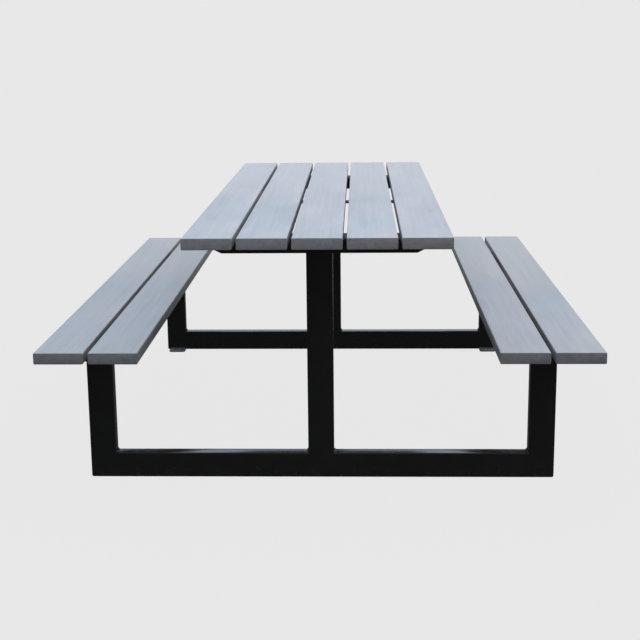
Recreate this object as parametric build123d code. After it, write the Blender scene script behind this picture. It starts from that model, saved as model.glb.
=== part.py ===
from build123d import *
import os

# A picnic table: composite boards on two welded steel end frames.
# Millimetres.  X runs across the table, Y along the boards, Z up.
# The origin is on the ground at the middle of the table.

# ---- boards ----
board_width = 145.0
board_thick = 34.0
board_length = 2000.0
board_edge_r = 3.0          # eased long edges
board_end_break = 1.5       # eased end edges
table_board_count = 5
table_gap = 12.0            # between table boards
seat_board_count = 2
seat_gap = 14.0             # between seat boards
table_height = 790.0        # ground to table top
seat_height = 455.0         # ground to seat top

# ---- frame tube ----
tube_wide = 80.0            # face seen from the table's end
tube_deep = 40.0            # along the boards
tube_wall = 3.0
tube_edge_r = 4.0           # outside edges
tube_bore_r = 1.0           # inside edges
frame_width = 1440.0        # over the seat posts
frame_inset = 204.0         # board end to the frame's outer face
frame_corner_r = 6.0        # dressed weld at each lower corner

# ---- bearers, folded channel that opens downwards ----
bearer_deep = 100.0         # along the boards
bearer_tall = 45.0
bearer_post_gap = 4.0       # post's outward face to the inside of the flange
seat_offset = 5.0           # seat's centre line along X, inward of the post's
bearer_wall = 4.0
bearer_bend_r = 6.0         # outside of each fold
bearer_bore_r = 2.0         # inside of each fold
bearer_setback = 9.0        # board edge to bearer end
table_bearer_taper = 84.0   # how much shorter the flanges are below
seat_bearer_taper = 60.0

# ---- flat straps that tie the boards at mid-length ----
strap_wide = 50.0
strap_thick = 5.0

# ---- foot plates for ground anchors ----
plate_wide = 68.0           # along the rail
plate_reach = 48.0          # out from the rail's inner face
plate_thick = 6.0
plate_corner_r = 10.0
plate_setback = 12.0        # from the rail's end
anchor_hole_r = 6.5
anchor_hole_reach = 28.0    # hole centre, out from the rail's face

# ---- fasteners ----
screw_r = 3.0
screw_bite = 26.0           # length inside the board
screw_tip = 3.0
screw_pitch = 70.0          # between the two screws of one board
head_across = 10.0          # hexagon, flat to flat
head_tall = 4.0
washer_r = 9.0
washer_thick = 1.6
hole_clearance = 0.5        # screw to steel, all round
pilot_clearance = 0.2       # screw to board, all round
pilot_spare = 2.0           # pilot hole past the screw's tip

# ---- places worked out from the sizes above ----
table_under = table_height - board_thick
seat_under = seat_height - board_thick
table_width = table_board_count * board_width + (table_board_count - 1) * table_gap
seat_width = seat_board_count * board_width + (seat_board_count - 1) * seat_gap
post_x = (frame_width - tube_wide) / 2
seat_x = post_x - seat_offset
frame_y = board_length / 2 - frame_inset - tube_deep / 2
bearer_offset = bearer_deep / 2 - bearer_wall - bearer_post_gap - tube_deep / 2
bearer_y = frame_y - bearer_offset
screw_y = (tube_deep / 2 - bearer_offset + bearer_deep / 2 - bearer_wall) / 2
table_bearer_half = table_width / 2 - bearer_setback
seat_bearer_half = seat_width / 2 - bearer_setback
bearer_screw_z = -bearer_wall - washer_thick
strap_screw_z = -strap_thick

END_SIGNS = {"front": -1, "rear": 1}
SIDE_SIGNS = {"left": -1, "right": 1}


def row_centres(count, pitch):
    """Centres of a row of pieces, spread evenly about zero."""
    return [(i - (count - 1) / 2) * pitch for i in range(count)]


table_xs = row_centres(table_board_count, board_width + table_gap)
seat_xs = row_centres(seat_board_count, board_width + seat_gap)


def bearer_screw_spots(xs, inward=1):
    """Two screws for each board, on the post's inward side."""
    return [(x + s * screw_pitch / 2, inward * screw_y) for x in xs for s in (-1, 1)]


def strap_screw_spots(xs):
    """Two screws for each board, on the strap's centre line."""
    return [(x + s * screw_pitch / 2, 0.0) for x in xs for s in (-1, 1)]


def drills(spots, radius, bottom, top):
    """Upright cutters at the given spots."""
    height = top - bottom
    return [Pos(x, y, bottom + height / 2) * Cylinder(radius, height) for x, y in spots]


def xz_prism(points):
    """A prism through the whole frame, drawn in the X-Z plane."""
    face = make_face(Plane.XZ * Polyline(*points, close=True))
    return extrude(face, amount=board_length / 2, both=True)


# ---- boards ----
def board(spots):
    """One board about its own centre, with blind pilot holes from below."""
    section = RectangleRounded(board_width, board_thick, board_edge_r)
    body = extrude(Plane.XZ * section, amount=board_length / 2, both=True)
    ends = body.faces().sort_by(Axis.Y)
    body = chamfer(ends[0].edges() + ends[-1].edges(), board_end_break)
    depth = screw_bite + pilot_spare
    floor = -board_thick / 2
    holes = drills(spots, screw_r + pilot_clearance, floor, floor + depth)
    return body - holes


def board_spots():
    """Pilot holes in one board: both bearers, and the strap at mid-length."""
    spots = strap_screw_spots([0.0])
    for end in END_SIGNS.values():
        spots += [(x, y + end * bearer_y) for x, y in bearer_screw_spots([0.0], -end)]
    return spots


# ---- welded frame ----
def tube_section():
    outer = RectangleRounded(tube_wide, tube_deep, tube_edge_r)
    bore = RectangleRounded(tube_wide - 2 * tube_wall, tube_deep - 2 * tube_wall, tube_bore_r)
    return outer - bore


def corner_waste(side):
    """What the dressed weld takes off the frame's lower outer corner."""
    x = side * frame_width / 2
    centre = x - side * frame_corner_r
    square = Pos((x + centre) / 2, 0, frame_corner_r / 2) * Box(frame_corner_r, 2 * tube_deep, frame_corner_r)
    round_bar = Pos(centre, 0, frame_corner_r) * Rot(90, 0, 0) * Cylinder(frame_corner_r, 2 * tube_deep)
    return square - round_bar


def base_rail():
    """Rail on the ground, mitred at both ends to take the seat posts."""
    section = Plane.YZ * Rot(0, 0, 90) * tube_section()
    rail = Pos(0, 0, tube_wide / 2) * extrude(section, amount=frame_width / 2, both=True)
    for side in SIDE_SIGNS.values():
        outer = side * frame_width / 2
        inner = outer - side * tube_wide
        rail -= xz_prism([(outer, 0), (outer, tube_wide), (inner, tube_wide)])
        rail -= corner_waste(side)
    return rail


def seat_post(side):
    """Upright at one end of the rail, from its mitre to the seat bearer."""
    top = seat_under - bearer_wall
    post = Pos(side * post_x, 0, 0) * extrude(tube_section(), amount=top)
    outer = side * frame_width / 2
    inner = outer - side * tube_wide
    post -= xz_prism([(outer, 0), (inner, tube_wide), (inner, 0)])
    return post - corner_waste(side)


def centre_post():
    """Upright from the rail to the table bearer."""
    height = table_under - bearer_wall - tube_wide
    return Pos(0, 0, tube_wide) * extrude(tube_section(), amount=height)


def bearer(half_length, taper, xs):
    """Folded channel under the boards, its top face at z = 0, for the front end."""
    outer = Pos(0, -bearer_tall / 2) * Rectangle(bearer_deep, bearer_tall)
    outer = fillet(outer.vertices().group_by(Axis.Y)[-1], bearer_bend_r)
    bore_tall = bearer_tall - bearer_wall
    bore = Pos(0, -bearer_wall - bore_tall / 2) * Rectangle(bearer_deep - 2 * bearer_wall, bore_tall)
    bore = fillet(bore.vertices().group_by(Axis.Y)[-1], bearer_bore_r)
    channel = extrude(Plane.YZ * (outer - bore), amount=half_length, both=True)
    for side in SIDE_SIGNS.values():
        tip = side * half_length
        foot = side * (half_length - taper)
        channel -= xz_prism([(tip, -bearer_wall), (tip, -bearer_tall), (foot, -bearer_tall)])
    holes = drills(bearer_screw_spots(xs), screw_r + hole_clearance, -bearer_wall, 0)
    return channel - holes


def foot_plate(end, side):
    """Drilled plate on the ground, welded to the rail's inner face."""
    inward = -end
    back = end * (frame_y - tube_deep / 2)
    x = side * (frame_width / 2 - plate_setback - plate_wide / 2)
    y = back + inward * plate_reach / 2
    plate = Pos(x, y, plate_thick / 2) * Box(plate_wide, plate_reach, plate_thick)
    free_edges = plate.edges().filter_by(Axis.Z).sort_by(Axis.Y)
    free_edges = free_edges[:2] if inward < 0 else free_edges[-2:]
    plate = fillet(free_edges, plate_corner_r)
    hole_y = back + inward * anchor_hole_reach
    return plate - drills([(x, hole_y)], anchor_hole_r, 0, plate_thick)


# ---- straps ----
def strap(half_length, xs):
    """Flat bar under the boards, its top face at z = 0."""
    bar = Pos(0, 0, -strap_thick / 2) * Box(2 * half_length, strap_wide, strap_thick)
    return bar - drills(strap_screw_spots(xs), screw_r + hole_clearance, -strap_thick, 0)


# ---- fasteners ----
def screw(reach):
    """Hexagon-headed screw that points up, the head's seat at z = 0."""
    head = extrude(RegularPolygon(head_across / 2, 6, major_radius=False), amount=-head_tall)
    straight = reach - screw_tip
    shank = Pos(0, 0, straight / 2) * Cylinder(screw_r, straight)
    tip = Pos(0, 0, straight + screw_tip / 2) * Cone(screw_r, screw_r / 4, screw_tip)
    return head + shank + tip


def washer():
    """Ring on the bearer's inside, its lower face at z = 0."""
    ring = Circle(washer_r) - Circle(screw_r + hole_clearance)
    return extrude(ring, amount=washer_thick)


def group(piece, places):
    """The same fastener at every place, each a solid of its own."""
    return Compound([place * piece for place in places])


def spot_places(spots, x, y, z):
    return [Pos(x + dx, y + dy, z) for dx, dy in spots]


# ---- the assembly ----
def build():
    nodes = {}
    plank = board(board_spots())
    table_z = table_under + board_thick / 2
    seat_z = seat_under + board_thick / 2
    for i, x in enumerate(table_xs):
        nodes[f"table_board_{i + 1}"] = Pos(x, 0, table_z) * plank
    for side_name, side in SIDE_SIGNS.items():
        for place, x in zip(("inner", "outer"), seat_xs):
            nodes[f"{side_name}_seat_board_{place}"] = Pos(side * (seat_x + x), 0, seat_z) * plank
        tie = strap(seat_bearer_half, seat_xs)
        nodes[f"{side_name}_seat_strap"] = Pos(side * seat_x, 0, seat_under) * tie
    nodes["table_strap"] = Pos(0, 0, table_under) * strap(table_bearer_half, table_xs)

    rail = base_rail()
    post = centre_post()
    table_bearer = bearer(table_bearer_half, table_bearer_taper, table_xs)
    seat_bearer = bearer(seat_bearer_half, seat_bearer_taper, seat_xs)
    for end_name, end in END_SIGNS.items():
        y = end * frame_y
        turn = Rot(0, 0, 90 * (1 + end))
        nodes[f"{end_name}_base_rail"] = Pos(0, y, 0) * rail
        nodes[f"{end_name}_centre_post"] = Pos(0, y, 0) * post
        nodes[f"{end_name}_table_bearer"] = Pos(0, end * bearer_y, table_under) * turn * table_bearer
        for side_name, side in SIDE_SIGNS.items():
            corner = f"{end_name}_{side_name}"
            nodes[f"{corner}_seat_post"] = Pos(0, y, 0) * seat_post(side)
            seat_place = Pos(side * seat_x, end * bearer_y, seat_under)
            nodes[f"{corner}_seat_bearer"] = seat_place * turn * seat_bearer
            nodes[f"{corner}_foot_plate"] = foot_plate(end, side)
    nodes.update(fasteners())
    return nodes


def fasteners():
    """Every screw and washer, one group of solids for each use."""
    bearer_screw = screw(bearer_wall + washer_thick + screw_bite)
    strap_screw = screw(strap_thick + screw_bite)
    on_table, on_seats, on_seat_straps = [], [], []
    for end in END_SIGNS.values():
        y = end * bearer_y
        spots = bearer_screw_spots(table_xs, -end)
        on_table += spot_places(spots, 0, y, table_under + bearer_screw_z)
        spots = bearer_screw_spots(seat_xs, -end)
        for side in SIDE_SIGNS.values():
            on_seats += spot_places(spots, side * seat_x, y, seat_under + bearer_screw_z)
    on_table_strap = spot_places(strap_screw_spots(table_xs), 0, 0, table_under + strap_screw_z)
    for side in SIDE_SIGNS.values():
        spots = strap_screw_spots(seat_xs)
        on_seat_straps += spot_places(spots, side * seat_x, 0, seat_under + strap_screw_z)
    return {
        "table_bearer_screws": group(bearer_screw, on_table),
        "table_bearer_washers": group(washer(), on_table),
        "seat_bearer_screws": group(bearer_screw, on_seats),
        "seat_bearer_washers": group(washer(), on_seats),
        "table_strap_screws": group(strap_screw, on_table_strap),
        "seat_strap_screws": group(strap_screw, on_seat_straps),
    }


os.makedirs("parts", exist_ok=True)
for name, shape in build().items():
    export_step(shape, f"parts/{name}.step")
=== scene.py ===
import math

import bmesh
import bpy
from mathutils import Matrix, Vector


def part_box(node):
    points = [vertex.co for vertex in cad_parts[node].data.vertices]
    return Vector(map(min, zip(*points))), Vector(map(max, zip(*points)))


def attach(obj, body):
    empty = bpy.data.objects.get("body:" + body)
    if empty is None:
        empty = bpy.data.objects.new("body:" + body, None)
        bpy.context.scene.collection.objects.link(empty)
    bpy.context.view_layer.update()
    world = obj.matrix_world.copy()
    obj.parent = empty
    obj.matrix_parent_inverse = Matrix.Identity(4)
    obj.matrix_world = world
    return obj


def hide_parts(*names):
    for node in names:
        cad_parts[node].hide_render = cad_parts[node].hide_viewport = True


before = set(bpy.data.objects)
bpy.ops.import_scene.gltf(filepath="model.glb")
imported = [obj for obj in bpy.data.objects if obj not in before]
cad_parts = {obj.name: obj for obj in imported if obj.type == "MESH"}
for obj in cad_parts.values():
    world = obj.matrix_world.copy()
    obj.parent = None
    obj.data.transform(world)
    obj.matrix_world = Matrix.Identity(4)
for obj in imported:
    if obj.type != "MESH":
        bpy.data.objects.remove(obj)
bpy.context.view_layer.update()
NODES = sorted(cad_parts)

bl_info = {
    "name": "Picnic Table Looks",
    "version": (1, 0, 0),
    "blender": (4, 5, 0),
    "location": "3D View > Sidebar > Picnic Table",
    "description": "Board, steel and stage looks for a picnic table on welded end frames",
    "category": "Object",
}


# ---------------------------------------------------------------- fixed values
MM = 0.001
ROUND_STEPS = 6             # segments in a quarter round
HEX_SIDES = 6
SHARP_ANGLE = 35            # degrees; an edge that turns further stays crisp
WELD_SHARP_ANGLE = 60       # degrees; keeps the ripples of a weld bead soft

STRAP_EDGE = 0.9 * MM       # round on a strap's long edges
STRAP_END = 0.6 * MM        # round on its ends
BEARER_BEVEL = 0.4 * MM
PLATE_BEVEL = 0.6 * MM

BEAD_SIDES = 10
BEAD_PITCH = 2.6 * MM       # length of one ripple of a weld bead
BEAD_RIPPLE = 0.10          # how far a ripple swells, as a share of the bead's radius
BEAD_RINGS = 4              # rings of points in each ripple
BEAD_TAPER = 14             # the higher, the shorter the rounded ends of a bead
PLATE_BEAD_INSET = 3 * MM   # a foot plate's bead stops this far from its sides

SCREW_SIDES = 24            # a multiple of HEX_SIDES, so that the head's corners are points
SCREW_HEAD = 4 * MM         # height of the head
# The head from below: its width as a share of the full width, and the height there.
HEAD_PROFILE = ((0.90, 0), (0.985, 0.5 * MM), (1.0, 1.0 * MM), (1.0, SCREW_HEAD))
SCREW_PLAIN = 8 * MM        # smooth length under the head
SCREW_CREST = 3 * MM        # thread radius at a crest
SCREW_ROOT = 2.35 * MM      # and between two crests
SCREW_PITCH = 2.4 * MM
SCREW_TIP = 4 * MM          # the last thread starts at least this far from the point
SCREW_POINT = 0.5 * MM      # radius of the blunt point

WASHER_SIDES = 32
WASHER_BORE = 3.5 * MM
WASHER_EDGE = 0.35 * MM

# How many features a metre each pattern has along X, Y and Z.
FIBRE = (520, 14, 520)      # board: fine lines along it
STREAK = (70, 1.6, 70)      # board: long pale and dark streaks
CLOUD = (13, 5, 13)         # board: soft mottling
PATCH = (5, 2.4, 5)         # board: broad areas of another tint
SAW_MARK = (22, 22, 260)    # board end: lines left by the saw
SPECK = (900, 900, 900)     # board end: the grit of the mix
BLOT = (60, 60, 60)         # board end: darker and paler spots
EDGE_HIGHLIGHT = (140, 22, 140)        # board edge: patches of painted highlight on the top long edges
PEEL = (620, 620, 620)      # coat: orange peel
COAT_PATCH = (14, 14, 14)   # coat: uneven gloss
DUST_PATCH = (55, 55, 90)   # coat: dust near the ground
STAIN = (45, 45, 45)        # foot plate: dull stains
SPANGLE = 160.0             # foot plate: zinc crystals, alike in all directions
TURNING = (900, 900, 2600)  # screw: fine marks from the lathe
SHUFFLE_REACH = 37.0        # metres of pattern that the pieces are spread over

EDGE_HIGHLIGHT_ACROSS = (3.0 * MM, 0.4 * MM)   # the painted edge highlight starts and is full this far from the side
EDGE_HIGHLIGHT_DOWN = (8.0 * MM, 1.5 * MM)     # and this far below the top
COOL_PATCH = (0.965, 1.0, 1.025)
WARM_PATCH = (1.03, 0.99, 1.0)
BOARD_RELIEF = 0.2 * MM             # depth of each bump pattern
PEEL_RELIEF = 0.05 * MM
STAIN_RELIEF = 0.1 * MM
TURNING_RELIEF = 0.02 * MM
BOARD_IOR = 1.5
COAT_IOR = 1.5

TUBE_ROUGHNESS = 0.20
BEARER_ROUGHNESS = 0.60
DUST_HEIGHT = (2 * MM, 55 * MM)     # dust is full below the first height and gone above the second
DUST = (0.20, 0.19, 0.18)

FLOOR_LIGHT = (1.45, 1.52, 1.75)    # what the open sky and the key add up to on the floor
FLOOR_DROP = 0.1 * MM               # keeps the floor off the undersides of the rails
KEY_FROM = Vector((1.0, 0.4, 2.2))  # where the key light stands, seen from the table
KEY_SPREAD = math.radians(70)
VIEW_END = 200                      # metres that the camera sees

# The sky's colour from straight below (0) over the horizon (0.5) to straight above (1),
# beyond the table's far end and behind the camera.
SKY_AHEAD = (
    (0.000, (0.06, 0.06, 0.06)), (0.490, (0.09, 0.09, 0.09)), (0.505, (1.02, 1.08, 1.14)),
    (0.560, (1.02, 1.08, 1.18)), (0.590, (0.80, 0.88, 0.98)), (0.608, (0.36, 0.40, 0.48)),
    (0.640, (0.34, 0.40, 0.52)), (0.668, (1.05, 1.36, 1.92)), (0.750, (1.60, 1.76, 2.02)),
    (0.850, (1.55, 1.66, 1.84)), (1.000, (1.42, 1.50, 1.66)))
SKY_BEHIND = (
    (0.000, (0.07, 0.07, 0.07)), (0.500, (0.09, 0.09, 0.09)), (0.560, (0.13, 0.13, 0.13)),
    (0.680, (0.24, 0.24, 0.24)), (0.760, (0.40, 0.41, 0.42)), (0.870, (0.95, 1.00, 1.08)),
    (1.000, (1.42, 1.50, 1.66)))
FAR_GROUND = (0.42, 0.43, 0.37)     # a low pale strip, straight ahead
LEFT_TINT = (0.77, 0.83, 0.90)      # share of the sky's colour that comes from the left
RIGHT_TINT = (1.27, 1.20, 1.10)     # and from the right


# ---------------------------------------------------------------- sizes and colours
class BoardSettings(bpy.types.PropertyGroup):
    edge_radius: bpy.props.FloatProperty(
        name="Edge radius", description="Round along each long edge of a board",
        default=3.6 * MM, min=0.5 * MM, unit="LENGTH")
    end_break: bpy.props.FloatProperty(
        name="End break", description="Small round on the sawn ends",
        default=1.8 * MM, min=0.1 * MM, unit="LENGTH")
    base: bpy.props.FloatVectorProperty(
        name="Board", description="Main colour of the boards",
        default=(0.250, 0.252, 0.256), subtype="COLOR", min=0, max=1)
    dark: bpy.props.FloatVectorProperty(
        name="Grain", description="Colour of the darkest grain lines",
        default=(0.208, 0.210, 0.214), subtype="COLOR", min=0, max=1)
    # Highlights also colours the painted highlight on the boards' top long edges.
    light: bpy.props.FloatVectorProperty(
        name="Highlights", description="Colour of the palest grain lines and painted edge highlights",
        default=(0.292, 0.294, 0.300), subtype="COLOR", min=0, max=1)
    roughness: bpy.props.FloatProperty(
        name="Roughness", description="Mean roughness of the board face",
        default=0.33, min=0, max=1, subtype="FACTOR")
    # Painted light: the table boards are painted this much lighter, for the open sky that lights them more
    # than the seats.
    top_painted_light: bpy.props.FloatProperty(
        name="Table painted light", description="Lightness of the table boards against the main colour",
        default=1.09, min=0, max=2)
    # Painted shade: the seat boards are painted this much darker, for the shade that the table casts on
    # them.
    seat_painted_shade: bpy.props.FloatProperty(
        name="Seat painted shade", description="Lightness of the seat boards against the main colour",
        default=0.88, min=0, max=2)


class SteelSettings(bpy.types.PropertyGroup):
    tube_edge: bpy.props.FloatProperty(
        name="Tube edge", description="Outside corner radius of the tube",
        default=4 * MM, min=0.5 * MM, unit="LENGTH")
    corner_radius: bpy.props.FloatProperty(
        name="Frame corner", description="Dressed radius at each lower outer corner",
        default=6 * MM, min=1 * MM, unit="LENGTH")
    channel_wall: bpy.props.FloatProperty(
        name="Channel wall", description="Thickness of the folded bearers",
        default=4 * MM, min=1 * MM, unit="LENGTH")
    channel_bend: bpy.props.FloatProperty(
        name="Channel bend", description="Outside radius of each fold",
        default=6 * MM, min=1 * MM, unit="LENGTH")
    table_taper: bpy.props.FloatProperty(
        name="Table bearer taper", description="How much shorter the flanges are below",
        default=84 * MM, min=0, unit="LENGTH")
    seat_taper: bpy.props.FloatProperty(
        name="Seat bearer taper", description="How much shorter the flanges are below",
        default=60 * MM, min=0, unit="LENGTH")
    plate_corner: bpy.props.FloatProperty(
        name="Plate corner", description="Round on the free corners of a foot plate",
        default=10 * MM, min=1 * MM, unit="LENGTH")
    anchor_hole: bpy.props.FloatProperty(
        name="Anchor hole", description="Radius of the hole in a foot plate",
        default=6.5 * MM, min=1 * MM, unit="LENGTH")
    anchor_reach: bpy.props.FloatProperty(
        name="Anchor reach", description="Hole centre to the rail's face",
        default=28 * MM, min=1 * MM, unit="LENGTH")
    weld: bpy.props.FloatProperty(
        name="Weld", description="Radius of a weld bead",
        default=3.5 * MM, min=0.5 * MM, unit="LENGTH")
    paint: bpy.props.FloatVectorProperty(
        name="Paint", description="Black powder coat",
        default=(0.0095, 0.0095, 0.0098), subtype="COLOR", min=0, max=1)
    zinc: bpy.props.FloatVectorProperty(
        name="Foot plates", description="Bare galvanised foot plates",
        default=(0.26, 0.265, 0.28), subtype="COLOR", min=0, max=1)
    screw: bpy.props.FloatVectorProperty(
        name="Screws", description="Stainless screws and washers",
        default=(0.56, 0.56, 0.55), subtype="COLOR", min=0, max=1)


class StageSettings(bpy.types.PropertyGroup):
    camera_place: bpy.props.FloatVectorProperty(
        name="Camera", description="Where the camera stands",
        default=(0.118481, -4.353675, 1.358733), subtype="TRANSLATION", unit="LENGTH")
    pitch: bpy.props.FloatProperty(
        name="Pitch", description="How far the camera looks down",
        default=math.radians(12.083), subtype="ANGLE")
    yaw: bpy.props.FloatProperty(
        name="Yaw", description="How far the camera turns to the left",
        default=math.radians(1.888), subtype="ANGLE")
    roll: bpy.props.FloatProperty(
        name="Roll", description="Tilt of the camera about its own axis",
        default=math.radians(-0.560), subtype="ANGLE")
    lens: bpy.props.FloatProperty(
        name="Lens", description="Focal length in millimetres on a 36 mm sensor",
        default=67.914, min=10)
    shift: bpy.props.FloatProperty(
        name="Shift", description="Upright lens shift as a share of the picture's width",
        default=-0.0469)
    backdrop: bpy.props.FloatVectorProperty(
        name="Backdrop", description="Pale floor and backdrop",
        default=(0.807, 0.807, 0.807), subtype="COLOR", min=0, max=1)
    floor_size: bpy.props.FloatProperty(
        name="Floor", description="Side of the floor sheet", default=60.0, min=5, unit="LENGTH")
    key_strength: bpy.props.FloatProperty(
        name="Key light", description="Strength of the broad soft key", default=0.5, min=0)
    shadow: bpy.props.FloatProperty(
        name="Shadow", description="How much of the floor's brightness a full shadow takes away",
        default=0.03, min=0, max=1, subtype="FACTOR")


# ---------------------------------------------------------------- shader expressions
class Value:
    """A shader socket that takes Python arithmetic and adds the Math nodes for it."""

    def __init__(self, shade, socket):
        self.shade, self.socket = shade, socket

    def math(self, operation, other, swap=False):
        first, second = (other, self) if swap else (self, other)
        return self.shade.add("ShaderNodeMath", {"operation": operation}, {0: first, 1: second})

    def __add__(self, other):
        return self.math("ADD", other)

    def __sub__(self, other):
        return self.math("SUBTRACT", other)

    def __rsub__(self, other):
        return self.math("SUBTRACT", other, swap=True)

    def __mul__(self, other):
        return self.math("MULTIPLY", other)

    def __truediv__(self, other):
        return self.math("DIVIDE", other)

    def __pow__(self, other):
        return self.math("POWER", other)

    __radd__ = __add__
    __rmul__ = __mul__

    def above(self, low, high):
        """0 below low, 1 above high, with a soft step between."""
        settings = {"interpolation_type": "SMOOTHSTEP"}
        return self.shade.add("ShaderNodeMapRange", settings,
                              {"Value": self, "From Min": low, "From Max": high})

    def size(self):
        return self.math("ABSOLUTE", 0.0)


class Shade:
    """The node tree of a material or a world, with a method that adds any node."""

    def __init__(self, owner):
        owner.use_nodes = True
        self.owner, self.tree = owner, owner.node_tree
        self.tree.nodes.clear()

    def add(self, kind, settings, sockets, out=0):
        """A node of that kind: its settings first, then its sockets' values or links."""
        node = self.tree.nodes.new(kind)
        for key, value in settings.items():
            if key == "stops":
                set_stops(node.color_ramp, value)
            else:
                setattr(node, key, value)
        for key, value in sockets.items():
            if isinstance(value, Value):
                self.tree.links.new(value.socket, node.inputs[key])
            else:
                node.inputs[key].default_value = value
        return Value(self, node.outputs[out]) if node.outputs else node

    def place(self):
        """The point being shaded, in the piece's own metres."""
        return self.add("ShaderNodeTexCoord", {}, {}, "Object")

    def parts(self, vector):
        """X, Y and Z of a vector as three values."""
        node = self.add("ShaderNodeSeparateXYZ", {}, {"Vector": vector}).socket.node
        return [Value(self, socket) for socket in node.outputs]

    def shuffle(self, vector):
        """Moves the pattern to a different stretch of it for each piece."""
        luck = self.add("ShaderNodeObjectInfo", {}, {}, "Random") * SHUFFLE_REACH
        shift = self.add("ShaderNodeCombineXYZ", {}, {"X": luck, "Y": luck * 1.7, "Z": luck * 0.6})
        return self.add("ShaderNodeVectorMath", {"operation": "ADD"}, {0: vector, 1: shift})

    def noise(self, vector, stretch, detail=3.0, roughness=0.5):
        """Noise whose features repeat stretch times a metre along X, Y and Z."""
        scaled = self.add("ShaderNodeVectorMath", {"operation": "MULTIPLY"}, {0: vector, 1: stretch})
        return self.add("ShaderNodeTexNoise", {}, {
            "Vector": scaled, "Scale": 1.0, "Detail": detail, "Roughness": roughness})

    def mix(self, factor, low, high, blend="MIX"):
        """Colour low where the factor is 0, and high where it is 1."""
        settings = {"data_type": "RGBA", "blend_type": blend, "clamp_factor": True}
        node = self.add("ShaderNodeMix", settings, {0: factor, 6: solid(low), 7: solid(high)})
        return Value(self, node.socket.node.outputs[2])

    def bump(self, height, depth, strength):
        """Relief of that height map, depth in metres."""
        return self.add("ShaderNodeBump", {}, {
            "Height": height, "Distance": depth, "Strength": strength})

    def surface(self, sockets):
        """The material, finished with a shader from its sockets' values or links."""
        shader = self.add("ShaderNodeBsdfPrincipled", {}, sockets)
        self.add("ShaderNodeOutputMaterial", {}, {"Surface": shader})
        return self.owner


def solid(colour):
    """A colour with full alpha for a colour socket, or a link as it is."""
    return colour if isinstance(colour, Value) else (*colour[:3], 1.0)


def set_stops(ramp, stops):
    """Sets a ramp's stops from (place, colour) pairs."""
    while len(ramp.elements) > 1:
        ramp.elements.remove(ramp.elements[-1])
    for i, (place, colour) in enumerate(stops):
        stop = ramp.elements[0] if i == 0 else ramp.elements.new(place)
        stop.position = place
        stop.color = solid(colour)


def new_finish(name):
    return Shade(bpy.data.materials.new(name))


# ---------------------------------------------------------------- finishes
def board_finish(settings, name, painted_light_share):
    """Through-coloured grey board: fine lengthwise grain, sawn ends, painted highlights on the top long
    edges, and a share that paints light on the table boards and shade on the seat boards.
    """
    look = new_finish(name)
    here = look.place()
    grain_here = look.shuffle(here)
    x, y, z = look.parts(here)
    facing = look.parts(look.add("ShaderNodeNewGeometry", {}, {}, "Normal"))
    sawn = facing[1].size().above(0.55, 0.85)      # 1 on the two ends of a board

    fibre = look.noise(grain_here, FIBRE, roughness=0.55)
    streak = look.noise(grain_here, STREAK)
    cloud = look.noise(grain_here, CLOUD)
    patch = look.noise(grain_here, PATCH, detail=2)
    saw = look.noise(grain_here, SAW_MARK, detail=4, roughness=0.65)
    speck = look.noise(grain_here, SPECK, detail=2)
    blot = look.noise(grain_here, BLOT, roughness=0.6)

    along = fibre * 0.18 + streak * 0.26 + cloud * 0.30 + patch * 0.26
    across = saw * 0.30 + speck * 0.25 + blot * 0.45
    tone = along * (1 - sawn) + across * sawn
    body = look.mix(tone.above(0.38, 0.52), settings.dark, settings.base)
    body = look.mix(tone.above(0.50, 0.63), body, settings.light)
    tint = look.mix(patch.above(0.38, 0.62), COOL_PATCH, WARM_PATCH)
    body = look.mix(1.0, body, tint, "MULTIPLY")
    # Painted light and shade: this lightens the table boards and darkens the seat boards by the light that
    # each gets.
    body = look.mix(1.0, body, [painted_light_share] * 3, "MULTIPLY")

    lo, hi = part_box("table_board_1")
    half = (hi - lo) / 2
    side_edge = x.size().above(half.x - EDGE_HIGHLIGHT_ACROSS[0], half.x - EDGE_HIGHLIGHT_ACROSS[1])
    rim = side_edge * z.above(half.z - EDGE_HIGHLIGHT_DOWN[0], half.z - EDGE_HIGHLIGHT_DOWN[1])
    # Painted highlight: the top long edges are painted paler in patches, up to 1.15 times the Highlights
    # colour, fading down the side.
    painted_edge_highlight = rim * look.noise(grain_here, EDGE_HIGHLIGHT).above(0.35, 0.65)
    body = look.mix(painted_edge_highlight * 0.8, body, [1.15 * c for c in settings.light])

    gloss = settings.roughness + (cloud - 0.5) * 0.12 + (patch - 0.5) * 0.15 + sawn * 0.22
    relief = fibre * 0.5 + streak * 0.5
    relief = relief * (1 - sawn) + across * sawn
    return look.surface({
        "Base Color": body, "Roughness": gloss, "IOR": BOARD_IOR,
        "Normal": look.bump(relief, BOARD_RELIEF, 0.15)})


def paint_finish(settings, name, roughness):
    """Black powder coat: faint orange peel, and a little dust near the ground."""
    look = new_finish(name)
    here = look.place()
    peel = look.noise(here, PEEL, detail=2)
    patch = look.noise(here, COAT_PATCH)
    low = 1 - look.parts(here)[2].above(*DUST_HEIGHT)
    dust = low * look.noise(here, DUST_PATCH, detail=4, roughness=0.65).above(0.50, 0.80)
    colour = look.mix(patch.above(0.3, 0.7), settings.paint, [1.25 * c for c in settings.paint])
    colour = look.mix(dust * 0.10, colour, DUST)
    return look.surface({
        "Base Color": colour, "IOR": COAT_IOR,
        "Roughness": roughness + (patch - 0.5) * 0.08 + dust * 0.20,
        "Normal": look.bump(peel, PEEL_RELIEF, 0.25)})


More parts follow.
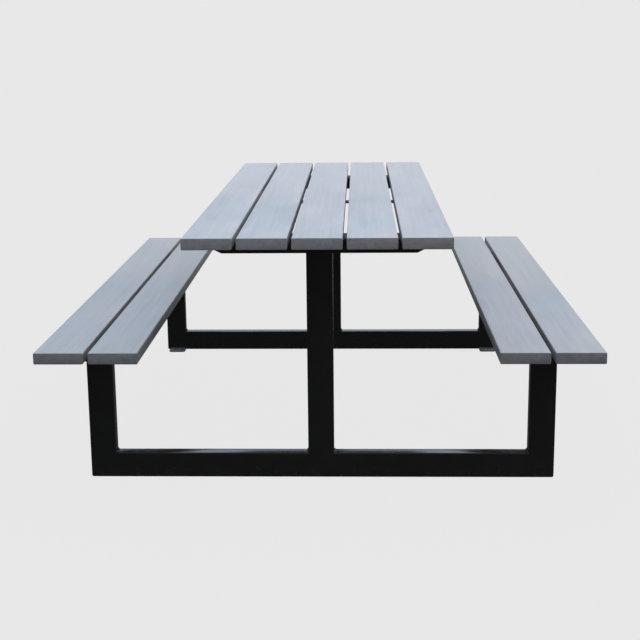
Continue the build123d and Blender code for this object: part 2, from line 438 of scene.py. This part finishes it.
def zinc_finish(settings):
    """Hot-dip galvanised foot plates with soft spangle."""
    look = new_finish("galvanised_plate")
    here = look.place()
    cells = {"Vector": here, "Scale": SPANGLE}
    spangle = look.add("ShaderNodeTexVoronoi", {"feature": "F1"}, cells, "Color")
    flake = look.parts(spangle)[0]
    stain = look.noise(here, STAIN, detail=4, roughness=0.6)
    dull = [0.62 * c for c in settings.zinc]
    colour = look.mix(flake * 0.5 + stain * 0.5, dull, settings.zinc)
    return look.surface({
        "Base Color": colour, "Metallic": 0.35, "Roughness": 0.48 + (flake - 0.5) * 0.14,
        "Normal": look.bump(stain, STAIN_RELIEF, 0.3)})


def screw_finish(settings):
    """Satin stainless steel with turning marks."""
    look = new_finish("stainless_fixing")
    here = look.place()
    mark = look.noise(here, TURNING, roughness=0.6)
    colour = look.mix(mark.above(0.3, 0.7), [0.8 * c for c in settings.screw], settings.screw)
    return look.surface({
        "Base Color": colour, "Metallic": 1.0, "Roughness": 0.30 + (mark - 0.5) * 0.15,
        "Normal": look.bump(mark, TURNING_RELIEF, 0.4)})


def floor_finish(colour, shadow):
    """Pale floor: mostly evenly bright, with a faint soft shadow, and clear from below."""
    look = new_finish("pale_floor")
    flat = look.add("ShaderNodeEmission", {}, {"Color": solid(colour)})
    evened = [c / light for c, light in zip(colour, FLOOR_LIGHT)]
    matt = look.add("ShaderNodeBsdfDiffuse", {}, {"Color": solid(evened)})
    lit = look.add("ShaderNodeMixShader", {}, {0: shadow, 1: flat, 2: matt})
    clear = look.add("ShaderNodeBsdfTransparent", {}, {})
    below = look.add("ShaderNodeNewGeometry", {}, {}, "Backfacing")
    shown = look.add("ShaderNodeMixShader", {}, {0: below, 1: lit, 2: clear})
    look.add("ShaderNodeOutputMaterial", {}, {"Surface": shown})
    return look.owner


# ---------------------------------------------------------------- meshes
def round_rect(width, height, radius):
    """Points of a rounded rectangle about zero, anticlockwise."""
    points = []
    for i, (side, end) in enumerate(((1, 1), (-1, 1), (-1, -1), (1, -1))):
        middle_x = side * (width / 2 - radius)
        middle_y = end * (height / 2 - radius)
        for k in range(ROUND_STEPS + 1):
            angle = math.pi / 2 * (i + k / ROUND_STEPS)
            points.append((middle_x + radius * math.cos(angle), middle_y + radius * math.sin(angle)))
    return points


def circle(radius, count):
    turn = 2 * math.pi / count
    return [(radius * math.cos(i * turn), radius * math.sin(i * turn)) for i in range(count)]


def skin(bm, rings, caps=True):
    """Quads from each ring of points to the next, and a flat cap at both ends if asked."""
    rows = [[bm.verts.new(point) for point in ring] for ring in rings]
    count = len(rows[0])
    for here, there in zip(rows, rows[1:]):
        for i in range(count):
            j = (i + 1) % count
            bm.faces.new((here[i], here[j], there[j], there[i]))
    if caps:
        bm.faces.new(reversed(rows[0]))
        bm.faces.new(rows[-1])
    return rows


def tidy(bm):
    """Merges points that meet, drops faces with no area and turns every face outwards."""
    bmesh.ops.remove_doubles(bm, verts=bm.verts, dist=1e-6)
    bmesh.ops.dissolve_degenerate(bm, edges=bm.edges, dist=1e-7)
    bmesh.ops.recalc_face_normals(bm, faces=bm.faces)


def make_piece(name, bm, finish, nodes, centre=Vector((0, 0, 0)),
               sharp=SHARP_ANGLE, bevel=0.0):
    """A finished object from a mesh about that centre, in place of those CAD nodes."""
    tidy(bm)
    mesh = bpy.data.meshes.new(name)
    bm.to_mesh(mesh)
    bm.free()
    mesh.materials.append(finish)
    mesh.shade_smooth()
    mesh.set_sharp_from_angle(angle=math.radians(sharp))
    piece = bpy.data.objects.new(name, mesh)
    bpy.context.scene.collection.objects.link(piece)
    piece.location = centre
    if bevel:
        soften = piece.modifiers.new("Eased edges", "BEVEL")
        soften.width = bevel
        soften.segments = 2
        soften.limit_method = "ANGLE"
        soften.angle_limit = math.radians(sharp)
        soften.harden_normals = True
    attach(piece, "root")
    if nodes:
        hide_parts(*nodes)
    return piece


def box_of(node):
    """Centre and size of a CAD node."""
    lo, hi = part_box(node)
    return (lo + hi) / 2, hi - lo


def eased_bar(size, along, edge_radius, end_break):
    """A bar about zero along X (0) or Y (1), with rounded long edges and softly broken ends."""
    across = 1 - along
    rings = []
    steps = ROUND_STEPS // 2
    for end in (-1, 1):
        turns = range(steps + 1) if end < 0 else range(steps, -1, -1)
        for k in turns:
            angle = math.pi / 2 * k / steps
            inset = end_break * (1 - math.sin(angle))
            reach = end * (size[along] / 2 - end_break * (1 - math.cos(angle)))
            ring = round_rect(size[across] - 2 * inset, size[2] - 2 * inset, edge_radius - inset)
            if along == 0:
                rings.append([(reach, -u, v) for u, v in ring])
            else:
                rings.append([(u, reach, v) for u, v in ring])
    bm = bmesh.new()
    skin(bm, rings)
    return bm


def corner_point(depth, angle, radius):
    """Where a tube's wall at that depth from the outside turns through the frame's corner."""
    left = radius - depth
    if left <= 0:
        return depth, depth
    return radius - left * math.cos(angle), radius - left * math.sin(angle)


def tube_section(wide, deep, edge):
    """(depth from the frame's outline, offset along the boards) of each point round a tube."""
    return [(u + wide / 2, v) for u, v in round_rect(wide, deep, edge)]


def corner_turns(start, stop):
    """Angles from start to stop, given in degrees, in even steps."""
    return [math.radians(start + (stop - start) * k / ROUND_STEPS) for k in range(ROUND_STEPS + 1)]


def seat_post_mesh(node, settings):
    """Upright tube, mitred at the foot round the frame's dressed corner."""
    lo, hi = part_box(node)
    side = math.copysign(1, lo.x)
    outer = max(abs(lo.x), abs(hi.x))
    y = (lo.y + hi.y) / 2
    section = tube_section(hi.x - lo.x, hi.y - lo.y, settings.tube_edge)
    rings = []
    for angle in corner_turns(45, 0):
        ring = [(corner_point(d, angle, settings.corner_radius), v) for d, v in section]
        rings.append([(side * (outer - p[0]), y + v, p[1]) for p, v in ring])
    rings.append([(side * (outer - d), y + v, hi.z) for d, v in section])
    bm = bmesh.new()
    skin(bm, rings)
    return bm


def base_rail_mesh(node, post_node, settings):
    """Rail on the ground, mitred at both ends."""
    lo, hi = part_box(node)
    post_lo, post_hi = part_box(post_node)
    outer = max(abs(post_lo.x), abs(post_hi.x))
    y = (lo.y + hi.y) / 2
    section = tube_section(hi.z - lo.z, hi.y - lo.y, settings.tube_edge)
    rings = []
    for side in (-1, 1):
        turns = corner_turns(45, 90) if side < 0 else corner_turns(90, 45)
        for angle in turns:
            ring = [(corner_point(d, angle, settings.corner_radius), v) for d, v in section]
            rings.append([(side * (outer - p[0]), y + v, p[1]) for p, v in ring])
    bm = bmesh.new()
    skin(bm, rings)
    return bm


def centre_post_mesh(node, settings):
    """Upright tube; its foot fills the rail's rounded top edges, as the dressed weld does."""
    lo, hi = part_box(node)
    middle = (lo + hi) / 2
    ring = round_rect(hi.x - lo.x, hi.y - lo.y, settings.tube_edge)
    foot = lo.z - settings.tube_edge
    rings = [[(middle.x + u, middle.y + v, z) for u, v in ring] for z in (foot, hi.z)]
    bm = bmesh.new()
    skin(bm, rings)
    return bm


def fold(half, drop, top, radius):
    """Outer or inner outline of a folded channel, from one lip over the web to the other."""
    points = [(-half, -drop)]
    for start, side in ((math.pi, -1), (math.pi / 2, 1)):
        for k in range(ROUND_STEPS + 1):
            angle = start - math.pi / 2 * k / ROUND_STEPS
            across = side * (half - radius) + radius * math.cos(angle)
            points.append((across, top - radius + radius * math.sin(angle)))
    points.append((half, -drop))
    return points


def bearer_mesh(node, taper, settings):
    """Folded channel that opens downwards, its flanges tapered at both ends."""
    centre, size = box_of(node)
    wall, bend = settings.channel_wall, settings.channel_bend
    half, drop = size.y / 2, size.z
    outer = fold(half, drop, 0, bend)
    inner = fold(half - wall, drop, -wall, bend - wall)
    loop = outer + inner[::-1]

    def reach(z):
        """Half the channel's length at that height, which shrinks below the web."""
        return size.x / 2 - taper * max(0.0, -wall - z) / (drop - wall)

    top = centre + Vector((0, 0, size.z / 2))
    bm = bmesh.new()
    ends = [[top + Vector((end * reach(z), y, z)) for y, z in loop] for end in (-1, 1)]
    rows = skin(bm, ends, caps=False)
    for row in rows:
        for i in range(len(outer) - 1):
            j = len(loop) - 1 - i
            bm.faces.new((row[i], row[i + 1], row[j - 1], row[j]))
    return bm


def foot_plate_mesh(node, settings):
    """Flat plate with two rounded free corners and one anchor hole."""
    centre, size = box_of(node)
    inward = -math.copysign(1, centre.y)
    corner = settings.plate_corner
    wide, deep = size.x / 2, size.y / 2
    outline = [(-wide, -inward * deep), (wide, -inward * deep)]
    for side, start in ((1, 0.0), (-1, math.pi / 2)):
        for k in range(ROUND_STEPS + 1):
            angle = start + math.pi / 2 * k / ROUND_STEPS
            x = side * (wide - corner) + corner * math.cos(angle)
            y = inward * (deep - corner + corner * math.sin(angle))
            outline.append((x, y))
    drill = -inward * deep + inward * settings.anchor_reach
    hole = [(x, y + drill) for x, y in circle(settings.anchor_hole, 8 * ROUND_STEPS)]
    bm = bmesh.new()
    heights = (-size.z / 2, size.z / 2)
    walls = [skin(bm, [[centre + Vector((x, y, z)) for x, y in loop] for z in heights], caps=False)
             for loop in (outline, hole)]
    for level in (0, 1):
        edges = []
        for rows in walls:
            row = rows[level]
            edges += [bm.edges.get((row[i - 1], row[i])) for i in range(len(row))]
        bmesh.ops.triangle_fill(bm, edges=edges, use_beauty=True, use_dissolve=True)
    return bm


def bead(bm, start, end, radius):
    """A rippled weld bead between two points, half sunk in the corner that it fills."""
    start, end = Vector(start), Vector(end)
    run = end - start
    steps = max(6, int(run.length / BEAD_PITCH * BEAD_RINGS))
    side = run.normalized().orthogonal()
    other = run.normalized().cross(side)
    rings = []
    for i in range(steps + 1):
        t = i / steps
        ripple = 1 + BEAD_RIPPLE * math.cos(2 * math.pi * t * run.length / BEAD_PITCH)
        close = min(1.0, math.sqrt(max(0.02, 1 - (abs(2 * t - 1)) ** BEAD_TAPER)))
        middle = start + run * t
        ring = circle(radius * ripple * close, BEAD_SIDES)
        rings.append([middle + side * u + other * v for u, v in ring])
    skin(bm, rings)


def bead_loop(bm, centre, wide, deep, edge, radius):
    """Beads on the four sides of a tube that stands against a plate."""
    x, y = wide / 2, deep / 2
    flat_x, flat_y = x - edge, y - edge
    for side in (-1, 1):
        bead(bm, centre + Vector((-flat_x, side * y, 0)), centre + Vector((flat_x, side * y, 0)), radius)
        bead(bm, centre + Vector((side * x, -flat_y, 0)), centre + Vector((side * x, flat_y, 0)), radius)


def hexagon(across, count):
    """Points round a hexagon, evenly spaced in angle so that rings match a circle."""
    points = []
    for i in range(count):
        angle = 2 * math.pi * i / count
        sector = (angle + math.pi / HEX_SIDES) % (2 * math.pi / HEX_SIDES) - math.pi / HEX_SIDES
        radius = across / 2 / math.cos(sector)
        points.append((radius * math.cos(angle), radius * math.sin(angle)))
    return points


def clusters(node):
    """Boxes of the separate solids in a CAD node of like fasteners."""
    bm = bmesh.new()
    bm.from_mesh(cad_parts[node].data)
    bmesh.ops.remove_doubles(bm, verts=bm.verts, dist=1e-7)
    bm.verts.index_update()
    seen, found = set(), []
    for first in bm.verts:
        if first.index in seen:
            continue
        stack, group = [first], []
        seen.add(first.index)
        while stack:
            vert = stack.pop()
            group.append(vert.co.copy())
            for edge in vert.link_edges:
                other = edge.other_vert(vert)
                if other.index not in seen:
                    seen.add(other.index)
                    stack.append(other)
        lo = Vector([min(p[i] for p in group) for i in range(3)])
        hi = Vector([max(p[i] for p in group) for i in range(3)])
        found.append((lo, hi))
    bm.free()
    return found


def screw_mesh(node):
    """Hexagon-headed screws that point up, each on its own CAD solid."""
    bm = bmesh.new()
    for lo, hi in clusters(node):
        x, y = (lo.x + hi.x) / 2, (lo.y + hi.y) / 2
        across = min(hi.x - lo.x, hi.y - lo.y)
        tall = hi.z - lo.z
        level = SCREW_HEAD + SCREW_PLAIN
        shank = [(SCREW_CREST, SCREW_HEAD), (SCREW_CREST, level)]
        while level < tall - SCREW_TIP:
            shank.append((SCREW_ROOT, level + 0.35 * SCREW_PITCH))
            shank.append((SCREW_CREST, level + 0.6 * SCREW_PITCH))
            shank.append((SCREW_ROOT, level + 0.85 * SCREW_PITCH))
            level += SCREW_PITCH
        shank.append((SCREW_POINT, tall))
        profile = [(hexagon(across * share, SCREW_SIDES), z) for share, z in HEAD_PROFILE]
        profile += [(circle(radius, SCREW_SIDES), z) for radius, z in shank]
        skin(bm, [[Vector((x + u, y + v, lo.z + z)) for u, v in ring] for ring, z in profile])
    return bm


def washer_mesh(node):
    """Washers with a softly rounded rim."""
    bm = bmesh.new()
    for lo, hi in clusters(node):
        x, y = (lo.x + hi.x) / 2, (lo.y + hi.y) / 2
        rim, tall = (hi.x - lo.x) / 2, hi.z - lo.z
        profile = [
            (WASHER_BORE, 0), (rim - WASHER_EDGE, 0), (rim, WASHER_EDGE),
            (rim, tall - WASHER_EDGE), (rim - WASHER_EDGE, tall), (WASHER_BORE, tall)]
        rings = []
        for radius, z in profile:
            rings.append([Vector((x + u, y + v, lo.z + z)) for u, v in circle(radius, WASHER_SIDES)])
        skin(bm, rings + rings[:1], caps=False)
    return bm


# ---------------------------------------------------------------- operators
class PICNIC_OT_boards(bpy.types.Operator):
    """Make the table boards and the seat boards"""

    bl_idname = "picnic.boards"
    bl_label = "Boards"

    def execute(self, context):
        settings = context.scene.picnic_boards
        # One board finish made twice: painted lighter for the table, painted darker for the seats.
        top_finish = board_finish(settings, "table_board_painted_light", settings.top_painted_light)
        seat_finish = board_finish(settings, "seat_board_painted_shade", settings.seat_painted_shade)
        for node in [n for n in NODES if "board" in n]:
            finish = seat_finish if "seat" in node else top_finish
            centre, size = box_of(node)
            bm = eased_bar(size, 1, settings.edge_radius, settings.end_break)
            make_piece(f"{node}_plank", bm, finish, [node], centre)
        return {"FINISHED"}


class PICNIC_OT_end_frames(bpy.types.Operator):
    """Make the rails and posts of both end frames"""

    bl_idname = "picnic.end_frames"
    bl_label = "End Frames"

    def execute(self, context):
        settings = context.scene.picnic_steel
        finish = paint_finish(settings, "glossy_black_coat", TUBE_ROUGHNESS)
        for end in ("front", "rear"):
            rail = base_rail_mesh(f"{end}_base_rail", f"{end}_left_seat_post", settings)
            make_piece(f"{end}_rail_tube", rail, finish, [f"{end}_base_rail"])
            post = centre_post_mesh(f"{end}_centre_post", settings)
            make_piece(f"{end}_centre_tube", post, finish, [f"{end}_centre_post"])
            for side in ("left", "right"):
                node = f"{end}_{side}_seat_post"
                make_piece(f"{end}_{side}_seat_tube", seat_post_mesh(node, settings), finish,
                           [node])
        return {"FINISHED"}


class PICNIC_OT_bearers(bpy.types.Operator):
    """Make the folded channels under the boards"""

    bl_idname = "picnic.bearers"
    bl_label = "Bearers"

    def execute(self, context):
        settings = context.scene.picnic_steel
        finish = paint_finish(settings, "matt_black_coat", BEARER_ROUGHNESS)
        for node in [n for n in NODES if n.endswith("_bearer")]:
            taper = settings.table_taper if "table" in node else settings.seat_taper
            make_piece(f"{node}_channel", bearer_mesh(node, taper, settings), finish,
                       [node], bevel=BEARER_BEVEL)
        return {"FINISHED"}


class PICNIC_OT_straps(bpy.types.Operator):
    """Make the flat bars that tie the boards at mid-length"""

    bl_idname = "picnic.straps"
    bl_label = "Straps"

    def execute(self, context):
        finish = bpy.data.materials["matt_black_coat"]
        for node in [n for n in NODES if n.endswith("_strap")]:
            centre, size = box_of(node)
            bm = eased_bar(size, 0, STRAP_EDGE, STRAP_END)
            make_piece(f"{node}_bar", bm, finish, [node], centre)
        return {"FINISHED"}


class PICNIC_OT_foot_plates(bpy.types.Operator):
    """Make the drilled foot plates"""

    bl_idname = "picnic.foot_plates"
    bl_label = "Foot Plates"

    def execute(self, context):
        settings = context.scene.picnic_steel
        finish = zinc_finish(settings)
        for node in [n for n in NODES if n.endswith("_foot_plate")]:
            make_piece(f"{node}_flat", foot_plate_mesh(node, settings), finish,
                       [node], bevel=PLATE_BEVEL)
        return {"FINISHED"}


class PICNIC_OT_welds(bpy.types.Operator):
    """Make the weld beads of both end frames"""

    bl_idname = "picnic.welds"
    bl_label = "Welds"

    def execute(self, context):
        settings = context.scene.picnic_steel
        finish = bpy.data.materials["glossy_black_coat"]
        for end in ("front", "rear"):
            bm = bmesh.new()
            self.corner_beads(bm, end, settings)
            self.plate_beads(bm, end, settings)
            self.bearer_beads(bm, end, settings)
            make_piece(f"{end}_frame_welds", bm, finish, [],
                       sharp=WELD_SHARP_ANGLE)
        return {"FINISHED"}

    def corner_beads(self, bm, end, settings):
        """Beads across the rail's top where each post rises from it."""
        rail_lo, rail_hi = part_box(f"{end}_base_rail")
        y0, y1 = rail_lo.y + settings.tube_edge, rail_hi.y - settings.tube_edge
        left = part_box(f"{end}_left_seat_post")[1].x
        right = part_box(f"{end}_right_seat_post")[0].x
        post_lo, post_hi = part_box(f"{end}_centre_post")
        for x in (left, post_lo.x, post_hi.x, right):
            bead(bm, (x, y0, rail_hi.z), (x, y1, rail_hi.z), settings.weld)

    def plate_beads(self, bm, end, settings):
        """Beads along each foot plate where it meets the rail."""
        rail_lo, rail_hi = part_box(f"{end}_base_rail")
        for side in ("left", "right"):
            lo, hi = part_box(f"{end}_{side}_foot_plate")
            y = rail_lo.y if lo.y < rail_lo.y else rail_hi.y
            bead(bm, (lo.x + PLATE_BEAD_INSET, y, hi.z), (hi.x - PLATE_BEAD_INSET, y, hi.z), settings.weld)

    def bearer_beads(self, bm, end, settings):
        """Beads round the top of each post, under its bearer's web."""
        names = [f"{end}_centre_post", f"{end}_left_seat_post", f"{end}_right_seat_post"]
        for lo, hi in map(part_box, names):
            centre = Vector(((lo.x + hi.x) / 2, (lo.y + hi.y) / 2, hi.z))
            bead_loop(bm, centre, hi.x - lo.x, hi.y - lo.y, settings.tube_edge, settings.weld)


class PICNIC_OT_fasteners(bpy.types.Operator):
    """Make the screws and washers under the boards"""

    bl_idname = "picnic.fasteners"
    bl_label = "Fasteners"

    def execute(self, context):
        finish = screw_finish(context.scene.picnic_steel)
        for node in [n for n in NODES if n.endswith("_screws")]:
            make_piece(f"{node}_set", screw_mesh(node), finish, [node])
        for node in [n for n in NODES if n.endswith("_washers")]:
            make_piece(f"{node}_set", washer_mesh(node), finish, [node])
        return {"FINISHED"}


class PICNIC_OT_stage(bpy.types.Operator):
    """Make the pale floor, the soft light and the camera"""

    bl_idname = "picnic.stage"
    bl_label = "Stage"

    def execute(self, context):
        settings = context.scene.picnic_stage
        context.scene.view_settings.view_transform = "Standard"
        self.floor(context, settings)
        self.sky(context, settings)
        self.key(context, settings)
        self.camera(context, settings)
        return {"FINISHED"}

    def floor(self, context, settings):
        """One flat sheet that the camera sees, and that lights and mirrors nothing."""
        half = settings.floor_size / 2
        bm = bmesh.new()
        corners = ((-1, -1), (1, -1), (1, 1), (-1, 1))
        bm.faces.new([bm.verts.new((x * half, y * half, -FLOOR_DROP)) for x, y in corners])
        mesh = bpy.data.meshes.new("floor")
        bm.to_mesh(mesh)
        bm.free()
        mesh.materials.append(floor_finish(settings.backdrop, settings.shadow))
        floor = bpy.data.objects.new("floor", mesh)
        floor.visible_diffuse = False
        floor.visible_glossy = False
        floor.visible_shadow = False
        context.scene.collection.objects.link(floor)

    def sky(self, context, settings):
        """Even backdrop for the camera; soft light, cooler from the left, dim from behind and below."""
        world = bpy.data.worlds.new("soft_sky")
        context.scene.world = world
        look = Shade(world)
        x, y, up = look.parts(look.add("ShaderNodeTexCoord", {}, {}, "Generated"))
        level = up * 0.5 + 0.5
        ahead = look.add("ShaderNodeValToRGB", {"stops": SKY_AHEAD}, {"Fac": level})
        behind = look.add("ShaderNodeValToRGB", {"stops": SKY_BEHIND}, {"Fac": level})
        turn = y / (x * x + y * y + 0.0001) ** 0.5      # 1 straight ahead, -1 straight behind
        glow = look.mix(turn.above(-0.9, -0.2), behind, ahead)
        warm = look.mix(x * 0.5 + 0.5, LEFT_TINT, RIGHT_TINT)
        glow = look.mix(1.0, glow, warm, "MULTIPLY")
        strip = up.above(-0.26, -0.18) * (1 - up.above(-0.03, 0.0)) * turn.above(0.985, 0.998)
        light = look.add("ShaderNodeBackground", {}, {"Color": look.mix(strip, glow, FAR_GROUND)})
        plain = look.add("ShaderNodeBackground", {}, {"Color": solid(settings.backdrop)})
        seen = look.add("ShaderNodeLightPath", {}, {}, "Is Camera Ray")
        mixed = look.add("ShaderNodeMixShader", {}, {0: seen, 1: light, 2: plain})
        look.add("ShaderNodeOutputWorld", {}, {"Surface": mixed})

    def key(self, context, settings):
        """A very broad soft key, high and to the right."""
        lamp = bpy.data.lights.new("soft_key", "SUN")
        lamp.energy = settings.key_strength
        lamp.angle = KEY_SPREAD
        key = bpy.data.objects.new("soft_key", lamp)
        key.rotation_euler = KEY_FROM.to_track_quat("Z", "Y").to_euler()
        context.scene.collection.objects.link(key)

    def camera(self, context, settings):
        """The camera, with a small upright lens shift."""
        lens = bpy.data.cameras.new("camera")
        lens.lens = settings.lens
        lens.shift_y = settings.shift
        lens.clip_end = VIEW_END
        camera = bpy.data.objects.new("camera", lens)
        turn = Matrix.Rotation(settings.yaw, 4, "Z")
        turn = turn @ Matrix.Rotation(math.pi / 2 - settings.pitch, 4, "X")
        turn = turn @ Matrix.Rotation(settings.roll, 4, "Z")
        camera.matrix_world = Matrix.Translation(settings.camera_place) @ turn
        context.scene.collection.objects.link(camera)
        context.scene.camera = camera


GROUPS = {"picnic_boards": BoardSettings, "picnic_steel": SteelSettings, "picnic_stage": StageSettings}
STEPS = (PICNIC_OT_boards, PICNIC_OT_end_frames, PICNIC_OT_bearers, PICNIC_OT_straps,
         PICNIC_OT_foot_plates, PICNIC_OT_welds, PICNIC_OT_fasteners, PICNIC_OT_stage)


class PICNIC_PT_panel(bpy.types.Panel):
    """The table's sizes, colours and steps"""

    bl_idname = "PICNIC_PT_panel"
    bl_label = "Picnic Table"
    bl_space_type = "VIEW_3D"
    bl_region_type = "UI"
    bl_category = "Picnic Table"

    def draw(self, context):
        for name in GROUPS:
            settings = getattr(context.scene, name)
            box = self.layout.box()
            for key in settings.__annotations__:
                box.prop(settings, key)
        for step in STEPS:
            self.layout.operator(step.bl_idname)


def register():
    for cls in (*GROUPS.values(), *STEPS, PICNIC_PT_panel):
        bpy.utils.register_class(cls)
    for name, cls in GROUPS.items():
        setattr(bpy.types.Scene, name, bpy.props.PointerProperty(type=cls))


def unregister():
    for name in GROUPS:
        delattr(bpy.types.Scene, name)
    for cls in (PICNIC_PT_panel, *reversed(STEPS), *GROUPS.values()):
        bpy.utils.unregister_class(cls)


def main():
    register()
    bpy.ops.picnic.boards()
    bpy.ops.picnic.end_frames()
    bpy.ops.picnic.bearers()
    bpy.ops.picnic.straps()
    bpy.ops.picnic.foot_plates()
    bpy.ops.picnic.welds()
    bpy.ops.picnic.fasteners()
    bpy.ops.picnic.stage()


if __name__ == "__main__":
    main()
